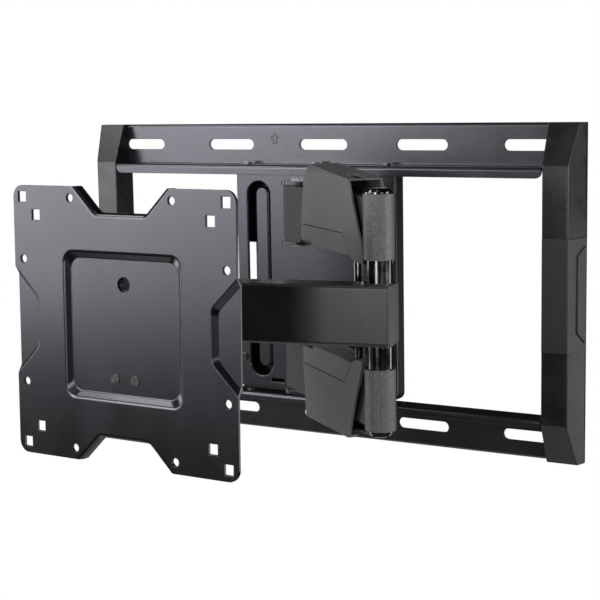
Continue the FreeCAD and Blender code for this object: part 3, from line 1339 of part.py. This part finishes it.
# soft bends round the recess and the side dishes
round_edges(screen, lambda e: flat_at(FRONT)(e) and within(e, sz("recess_half_w"), sz("recess_half_h")),
            sz("recess_rim_rad"))
round_edges(screen, lambda e: flat_at(FRONT + DEEP)(e) and within(e, sz("recess_half_w"), sz("recess_half_h")),
            sz("recess_floor_rad"))
round_edges(screen, lambda e: abs(e.BoundBox.YLength - SIZES["side_deep"]) < EPS
            and abs(e.BoundBox.YMin - FRONT.value) < EPS
            and within(e, sz("side_floor_x") + 0.5, sz("side_inner_half") + 0.5), sz("side_corner_rad"))
round_edges(screen, lambda e: flat_at(FRONT)(e) and abs(e.BoundBox.Center.x) > 80
            and abs(e.BoundBox.Center.z) < 40 and e.BoundBox.XMax < HALF.value - EPS, sz("side_rim_rad"))

holes = sketch_on(screen, XZ)
for side in (-1, 1):
    for up in (-1, 1):
        for half in (sz("vesa_half"), sz("inner_square")):
            x, z, h = half * side, half * up, sz("square_half")
            rectangle(holes, x - h, x + h, z - h, z + h)
        circle(holes, side * sz("vesa_mid"), up * sz("vesa_half"), sz("round_rad"))
        circle(holes, side * sz("vesa_half"), up * sz("vesa_mid"), sz("round_rad"))
    circle(holes, side * sz("plate_screw_x"), sz("plate_screw_z"), 2.5)
circle(holes, 0, sz("hook_hole_z"), sz("hook_hole_rad"))
pocket(screen, holes, 240, middle=True)

# ---------------------------------------------------------------- checks and export

doc.recompute()
for item in doc.Objects:
    if any(word in item.State for word in ("Invalid", "Error")):
        raise RuntimeError(f"{item.Label} failed: {item.State}")
os.makedirs("parts", exist_ok=True)
for node in parts:
    shape = node.Shape
    if shape.isNull() or not shape.isValid() or not shape.Solids:
        raise RuntimeError(f"{node.Label} has no valid solid")
for node in parts:
    node.Shape.exportStep(f"parts/{node.Label}.step")
    box = node.Shape.BoundBox
    print(f"{node.Label:26s} solids {len(node.Shape.Solids)}  volume {node.Shape.Volume:10.0f}  "
          f"size {box.XLength:6.1f} x {box.YLength:6.1f} x {box.ZLength:6.1f}")
print(f"{len(parts)} nodes written")
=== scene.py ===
"""Looks of the full motion TV wall mount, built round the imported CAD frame.

Metres.  X runs right along the wall, Y into the wall, Z up; the screen plate faces -Y.
Every CAD node keeps its shape and gets a procedural material; the floor, the lights and the camera follow.
"""

import json
import math

import bpy
from mathutils import Matrix, Vector


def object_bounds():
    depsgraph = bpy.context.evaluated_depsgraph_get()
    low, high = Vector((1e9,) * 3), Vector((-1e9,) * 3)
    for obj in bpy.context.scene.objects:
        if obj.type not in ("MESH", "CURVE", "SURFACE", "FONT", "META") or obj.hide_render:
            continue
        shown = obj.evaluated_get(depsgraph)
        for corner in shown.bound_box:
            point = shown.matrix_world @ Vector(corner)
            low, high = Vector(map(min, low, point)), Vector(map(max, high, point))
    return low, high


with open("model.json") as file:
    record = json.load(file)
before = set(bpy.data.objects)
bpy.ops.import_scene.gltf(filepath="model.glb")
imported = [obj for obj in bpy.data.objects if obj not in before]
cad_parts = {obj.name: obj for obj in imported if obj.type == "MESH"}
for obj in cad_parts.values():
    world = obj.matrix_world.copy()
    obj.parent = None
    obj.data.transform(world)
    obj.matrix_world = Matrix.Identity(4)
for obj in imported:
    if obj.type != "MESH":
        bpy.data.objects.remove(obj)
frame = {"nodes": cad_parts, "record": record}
CAD_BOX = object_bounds()
NODES = frame["nodes"]
MM = 0.001


# ---------------------------------------------------------------- node helpers

class Graph:
    """A material's node tree with short calls for the nodes used here."""

    def __init__(self, name):
        self.material = bpy.data.materials.new(name)
        self.material.use_nodes = True
        self.tree = self.material.node_tree
        self.shader = self.tree.nodes["Principled BSDF"]
        self.place = self.add("ShaderNodeTexCoord").outputs["Object"]

    def add(self, kind, **values):
        node = self.tree.nodes.new(kind)
        for key, value in values.items():
            setattr(node, key, value)
        return node

    def link(self, source, target):
        if isinstance(source, (int, float)):
            target.default_value = source
        elif isinstance(source, tuple):
            target.default_value = (*source, 1.0)
        else:
            self.tree.links.new(source, target)

    def noise(self, size, detail=2.0, rough=0.5, stretch=(1, 1, 1), distortion=0.0):
        """Noise whose features are about size metres across."""
        mapping = self.add("ShaderNodeMapping")
        mapping.inputs["Scale"].default_value = stretch
        self.link(self.place, mapping.inputs["Vector"])
        node = self.add("ShaderNodeTexNoise")
        self.link(mapping.outputs["Vector"], node.inputs["Vector"])
        node.inputs["Scale"].default_value = 1.0 / size
        node.inputs["Detail"].default_value = detail
        node.inputs["Roughness"].default_value = rough
        node.inputs["Distortion"].default_value = distortion
        return node.outputs["Fac"]

    def cells(self, size):
        """Rounded grains about size metres across."""
        node = self.add("ShaderNodeTexVoronoi")
        self.link(self.place, node.inputs["Vector"])
        node.inputs["Scale"].default_value = 1.0 / size
        return node.outputs["Distance"]

    def between(self, value, low, high, to_low=0.0, to_high=1.0):
        node = self.add("ShaderNodeMapRange")
        self.link(value, node.inputs["Value"])
        for key, number in (("From Min", low), ("From Max", high), ("To Min", to_low), ("To Max", to_high)):
            node.inputs[key].default_value = number
        return node.outputs["Result"]

    def maths(self, operation, a, b=0.0):
        node = self.add("ShaderNodeMath", operation=operation)
        self.link(a, node.inputs[0])
        self.link(b, node.inputs[1])
        return node.outputs[0]

    def blend(self, factor, a, b):
        """Colour a where factor is 0, colour b where it is 1."""
        node = self.add("ShaderNodeMix", data_type="RGBA")
        self.link(factor, node.inputs["Factor"])
        self.link(a, node.inputs["A"])
        self.link(b, node.inputs["B"])
        return node.outputs["Result"]

    def edge(self, radius):
        """1 along outer edges within about radius metres, 0 on open faces."""
        bevel = self.add("ShaderNodeBevel", samples=6)
        bevel.inputs["Radius"].default_value = radius
        normal = self.add("ShaderNodeNewGeometry").outputs["Normal"]
        dot = self.add("ShaderNodeVectorMath", operation="DOT_PRODUCT")
        self.link(bevel.outputs["Normal"], dot.inputs[0])
        self.link(normal, dot.inputs[1])
        return self.between(dot.outputs["Value"], 0.995, 0.86)

    def bump(self, height, distance, strength=1.0, under=None):
        node = self.add("ShaderNodeBump")
        node.inputs["Distance"].default_value = distance
        node.inputs["Strength"].default_value = strength
        self.link(height, node.inputs["Height"])
        if under is not None:
            self.link(under, node.inputs["Normal"])
        return node.outputs["Normal"]

    def rounded(self, radius):
        """Normals that turn softly over sharp edges."""
        node = self.add("ShaderNodeBevel", samples=6)
        node.inputs["Radius"].default_value = radius
        return node.outputs["Normal"]

    def away_from(self, x, y):
        """Distance in metres from the upright line through x, y."""
        split = self.add("ShaderNodeSeparateXYZ")
        self.link(self.place, split.inputs[0])
        dx = self.maths("SUBTRACT", split.outputs["X"], x)
        dy = self.maths("SUBTRACT", split.outputs["Y"], y)
        squares = self.maths("ADD", self.maths("MULTIPLY", dx, dx), self.maths("MULTIPLY", dy, dy))
        return self.maths("SQRT", squares)


def grey(value, violet=0.0):
    """A near-neutral colour; violet above 0 leans to blue and a little to red."""
    return (value * (1 + violet * 0.2), value, value * (1 + violet))


# ---------------------------------------------------------------- materials

SKIN_ENDS = 0.0165          # distance from the elbow's axis where the barrel's grainy skin has faded out
SKIN_FULL = 0.0145          # and within which it is at full strength


def powder_coat(name, shade, rough, grain, bump, wear_and_highlight=0.3, edge_mm=0.6, sheen=(0.90, 0.87, 1.0)):
    """Painted steel: orange-peel skin, faint mottling, dust in the open, and edges painted lighter, partly
    thin worn paint and partly a painted highlight.
    """
    g = Graph(name)
    patch = g.noise(0.055, 3.0, 0.55)
    fine = g.noise(grain, 3.0, 0.6)
    edge = g.maths("MULTIPLY", g.edge(edge_mm * MM), g.between(g.noise(0.006, 4.0, 0.65), 0.40, 0.64))
    base = g.blend(g.between(patch, 0.3, 0.7), grey(shade * 0.85, 0.12), grey(shade * 1.15, 0.12))
    base = g.blend(g.between(fine, 0.35, 0.75, 0.0, 0.3), base, grey(shade * 1.7, 0.12))
    # edges painted lighter: partly paint worn thin, partly a painted highlight along the edge
    base = g.blend(g.maths("MULTIPLY", edge, wear_and_highlight), base, grey(shade * 3.0 + 0.03, 0.1))
    g.link(base, g.shader.inputs["Base Color"])
    smudge = g.noise(0.035, 5.0, 0.6, stretch=(1, 1, 0.45))
    g.link(g.between(smudge, 0.3, 0.75, rough - 0.02, rough + 0.03), g.shader.inputs["Roughness"])
    g.shader.inputs["Specular IOR Level"].default_value = 0.6
    g.shader.inputs["Specular Tint"].default_value = (*sheen, 1.0)
    skin = g.bump(fine, bump, 0.55, g.rounded(edge_mm * MM))
    g.link(g.bump(g.noise(grain * 6, 2.0), bump * 2.2, 0.35, skin), g.shader.inputs["Normal"])
    return g.material


def casting(name, shade, rough):
    """Painted casting: smooth and dark along the arm, a coarse grainy skin on the elbow barrel."""
    g = Graph(name)
    joints = frame["record"]["behaviour"]["joints"]
    elbow = next(joint for joint in joints if joint["name"] == "elbow_fold")
    barrel = g.between(g.away_from(*elbow["pos_m"][:2]), SKIN_ENDS, SKIN_FULL)
    grains = g.noise(0.0016, 4.0, 0.75)
    lumps = g.noise(0.0055, 3.0, 0.6)
    coarse = g.blend(g.between(grains, 0.36, 0.66), grey(shade * 0.55), grey(shade * 1.7))
    coarse = g.blend(g.between(lumps, 0.3, 0.7, 0.0, 0.4), coarse, grey(shade * 1.4))
    smooth = g.blend(g.between(lumps, 0.3, 0.7), grey(shade * 0.34), grey(shade * 0.46))
    base = g.blend(barrel, smooth, coarse)
    # edges painted lighter: partly worn paint, partly a painted highlight along the edge
    base = g.blend(g.maths("MULTIPLY", g.edge(0.8 * MM), 0.35), base, grey(shade * 2.2 + 0.02))
    g.link(base, g.shader.inputs["Base Color"])
    g.link(g.between(lumps, 0.3, 0.7, rough - 0.05, rough + 0.07), g.shader.inputs["Roughness"])
    depth = g.maths("MULTIPLY", grains, g.between(barrel, 0.0, 1.0, 0.2, 1.0))
    skin = g.bump(depth, 0.30 * MM, 0.9, g.rounded(0.8 * MM))
    g.link(g.bump(lumps, 0.25 * MM, 0.4, skin), g.shader.inputs["Normal"])
    return g.material


def moulded(name, shade, rough, grain, bump, wear_and_highlight=0.25, edge_mm=0.7):
    """Moulded plastic: spark-eroded grain, slow mottling, edges painted a little lighter, partly rubbed wear
    and partly a painted highlight.
    """
    g = Graph(name)
    pits = g.cells(grain)
    cloud = g.noise(0.03, 4.0, 0.6)
    scuff = g.between(g.noise(0.012, 6.0, 0.7, stretch=(1, 1, 0.25), distortion=0.6), 0.58, 0.72)
    base = g.blend(g.between(cloud, 0.3, 0.7), grey(shade * 0.9), grey(shade * 1.1))
    base = g.blend(g.between(pits, 0.0, 0.6, 0.3, 0.0), base, grey(shade * 0.55))
    # edges painted lighter: partly rubbed wear, partly a painted highlight along the edge
    base = g.blend(g.maths("MULTIPLY", g.edge(edge_mm * MM), wear_and_highlight), base, grey(shade * 1.9 + 0.02))
    base = g.blend(g.maths("MULTIPLY", scuff, 0.10), base, grey(shade * 1.6 + 0.01))
    g.link(base, g.shader.inputs["Base Color"])
    g.link(g.between(cloud, 0.3, 0.7, rough - 0.05, rough + 0.06), g.shader.inputs["Roughness"])
    g.shader.inputs["Specular IOR Level"].default_value = 0.45
    g.link(g.bump(pits, bump, 0.6, g.rounded(edge_mm * MM)), g.shader.inputs["Normal"])
    return g.material


def chrome_plate(name):
    """Dark mirror plating with fine turning lines and a faint haze."""
    g = Graph(name)
    haze = g.noise(0.014, 5.0, 0.6)
    lines = g.noise(0.0016, 2.0, 0.5, stretch=(0.15, 0.15, 4.0))
    base = g.blend(g.between(haze, 0.35, 0.7), (0.10, 0.101, 0.105), (0.18, 0.182, 0.187))
    g.link(base, g.shader.inputs["Base Color"])
    g.shader.inputs["Metallic"].default_value = 1.0
    g.link(g.between(haze, 0.4, 0.75, 0.14, 0.24), g.shader.inputs["Roughness"])
    g.link(g.bump(lines, 0.02 * MM, 0.35, g.rounded(0.5 * MM)), g.shader.inputs["Normal"])
    return g.material


def black_oxide(name, shade, rough):
    """Blackened steel fasteners: slightly metallic, with corners painted bright, partly wear and partly a
    painted highlight.
    """
    g = Graph(name)
    blotch = g.noise(0.004, 4.0, 0.6)
    turned = g.noise(0.0012, 2.0, 0.5, stretch=(1, 1, 3))
    base = g.blend(g.between(blotch, 0.35, 0.7), grey(shade * 0.7), grey(shade * 1.4))
    # corners painted bright: partly worn oxide, partly a painted highlight
    base = g.blend(g.maths("MULTIPLY", g.edge(0.45 * MM), 0.55), base, grey(0.30))
    g.link(base, g.shader.inputs["Base Color"])
    g.shader.inputs["Metallic"].default_value = 0.75
    g.link(g.between(blotch, 0.3, 0.7, rough - 0.06, rough + 0.08), g.shader.inputs["Roughness"])
    g.link(g.bump(turned, 0.03 * MM, 0.5, g.rounded(0.45 * MM)), g.shader.inputs["Normal"])
    return g.material


def nylon(name):
    """Waxy black bearing plastic."""
    g = Graph(name)
    cloud = g.noise(0.003, 4.0, 0.6)
    g.link(g.blend(g.between(cloud, 0.3, 0.7), grey(0.028), grey(0.045)), g.shader.inputs["Base Color"])
    g.link(g.between(cloud, 0.3, 0.7, 0.36, 0.48), g.shader.inputs["Roughness"])
    g.shader.inputs["Subsurface Weight"].default_value = 0.02
    g.link(g.bump(cloud, 0.05 * MM, 0.4, g.rounded(0.3 * MM)), g.shader.inputs["Normal"])
    return g.material


MATERIALS = {
    "frame_paint": powder_coat("frame_paint", 0.014, 0.25, 0.0010, 0.03 * MM),
    "arm_paint": moulded("arm_paint", 0.020, 0.30, 0.0010, 0.03 * MM, wear_and_highlight=0.05, edge_mm=0.4),
    "screen_plate_paint": powder_coat("screen_plate_paint", 0.003, 0.24, 0.0008, 0.02 * MM, edge_mm=0.8),
    "cast_paint": casting("cast_paint", 0.085, 0.42),
    "cover_plastic": moulded("cover_plastic", 0.095, 0.50, 0.0011, 0.05 * MM),
    "cap_plastic": moulded("cap_plastic", 0.006, 0.28, 0.0012, 0.06 * MM),
    "grip_plastic": moulded("grip_plastic", 0.015, 0.42, 0.0014, 0.08 * MM),
    "chrome_plate": chrome_plate("chrome_plate"),
    "black_fasteners": black_oxide("black_fasteners", 0.09, 0.20),
    "bushing_nylon": nylon("bushing_nylon"),
}

for part in frame["record"]["subparts"]:
    piece = NODES[part["node"]]
    piece.data.materials.clear()
    piece.data.materials.append(MATERIALS[part["material_slot"]])
    for polygon in piece.data.polygons:
        polygon.material_index = 0


# ---------------------------------------------------------------- floor, light and camera

FLOOR_BELOW = 1.45          # the mount hangs a little above head height for a seated viewer
FLOOR_RADIUS = 1.7
FILL_LIGHT = 0.01
LIT_POINT = Vector((0.0, -0.15, 0.0))
LIGHT_DISTANCE = 2.3
SOFT_BOX_SIZE = 0.62

# Square soft boxes round the mount: azimuth, elevation and power of each.
# Azimuth 0 is straight out from the wall and grows to the right.
SOFT_BOXES = (
    ("key", -35, 14, 16),
    ("key_front", -33, 2, 5),
    ("key_low", -48, 2, 7),
    ("key_right", -22, 14, 5),
    ("key_high", -57, 45, 14),
    ("front", 5, 2, 12),
    ("front_high", 8, 28, 4),
    ("right", 55, 8, 10),
    ("side_right", 100, 8, 30),
    ("side_left", -85, 0, 7),
    ("low_left", -80, -20, 5),
    ("top", 0, 76, 6),
    ("rear_right", 135, -12, 4),
    ("rear_left", 225, -12, 8),
)


def floor_disc():
    """A plain pale round floor."""
    mesh = bpy.data.meshes.new("floor")
    corners = 128
    angles = [math.tau * i / corners for i in range(corners)]
    rim = [(FLOOR_RADIUS * math.cos(angle), FLOOR_RADIUS * math.sin(angle), 0.0) for angle in angles]
    mesh.from_pydata(rim, [], [tuple(range(corners))])
    disc = bpy.data.objects.new("floor", mesh)
    disc.location = (0, 0, CAD_BOX[0].z - FLOOR_BELOW)
    bpy.context.scene.collection.objects.link(disc)
    g = Graph("floor_paint")
    g.link(g.blend(g.noise(0.4, 4.0), (0.78, 0.78, 0.78), (0.84, 0.84, 0.84)), g.shader.inputs["Base Color"])
    g.shader.inputs["Roughness"].default_value = 0.8
    mesh.materials.append(g.material)


def soft_box(name, azimuth, elevation, watts):
    """A square area light aimed at the mount from an azimuth and an elevation in degrees."""
    turn = math.radians(azimuth)
    rise = math.radians(elevation)
    away = Vector((math.sin(turn) * math.cos(rise), -math.cos(turn) * math.cos(rise), math.sin(rise)))
    data = bpy.data.lights.new(name, "AREA")
    data.shape = "SQUARE"
    data.size = SOFT_BOX_SIZE
    data.energy = watts
    lamp = bpy.data.objects.new(name, data)
    lamp.location = LIT_POINT + away * LIGHT_DISTANCE
    lamp.rotation_euler = away.to_track_quat("Z", "Y").to_euler()
    bpy.context.scene.collection.objects.link(lamp)


def studio_world():
    """White seen directly; an even soft grey as a light."""
    world = bpy.data.worlds.new("studio")
    bpy.context.scene.world = world
    world.use_nodes = True
    tree = world.node_tree
    tree.nodes.clear()
    fill = tree.nodes.new("ShaderNodeBackground")
    fill.inputs["Color"].default_value = (1, 1, 1, 1)
    fill.inputs["Strength"].default_value = FILL_LIGHT
    seen = tree.nodes.new("ShaderNodeBackground")
    seen.inputs["Color"].default_value = (1, 1, 1, 1)
    seen.inputs["Strength"].default_value = 1.0
    path = tree.nodes.new("ShaderNodeLightPath")
    mix = tree.nodes.new("ShaderNodeMixShader")
    out = tree.nodes.new("ShaderNodeOutputWorld")
    tree.links.new(path.outputs["Is Camera Ray"], mix.inputs[0])
    tree.links.new(fill.outputs[0], mix.inputs[1])
    tree.links.new(seen.outputs[0], mix.inputs[2])
    tree.links.new(mix.outputs[0], out.inputs["Surface"])


floor_disc()
studio_world()
for box in SOFT_BOXES:
    soft_box(*box)
bpy.context.scene.view_settings.view_transform = "Standard"

# The camera stands right of the mount, a little above it and turned slightly clockwise.
CAMERA_AT = Vector((0.678, -1.213, 0.176))
CAMERA_YAW = 30.3
CAMERA_DOWN = 7.95
CAMERA_ROLL = -1.0
FIELD_OF_VIEW = math.radians(22.94)

camera_data = bpy.data.cameras.new("camera")
camera_data.sensor_fit = "HORIZONTAL"
camera_data.angle = FIELD_OF_VIEW
camera_data.clip_start = 0.01
camera = bpy.data.objects.new("camera", camera_data)
yaw = Matrix.Rotation(math.radians(CAMERA_YAW), 4, "Z")
pitch = Matrix.Rotation(math.radians(90 - CAMERA_DOWN), 4, "X")
roll = Matrix.Rotation(math.radians(CAMERA_ROLL), 4, "Z")
camera.matrix_world = Matrix.Translation(CAMERA_AT) @ yaw @ pitch @ roll
bpy.context.scene.collection.objects.link(camera)
bpy.context.scene.camera = camera

bpy.context.view_layer.update()
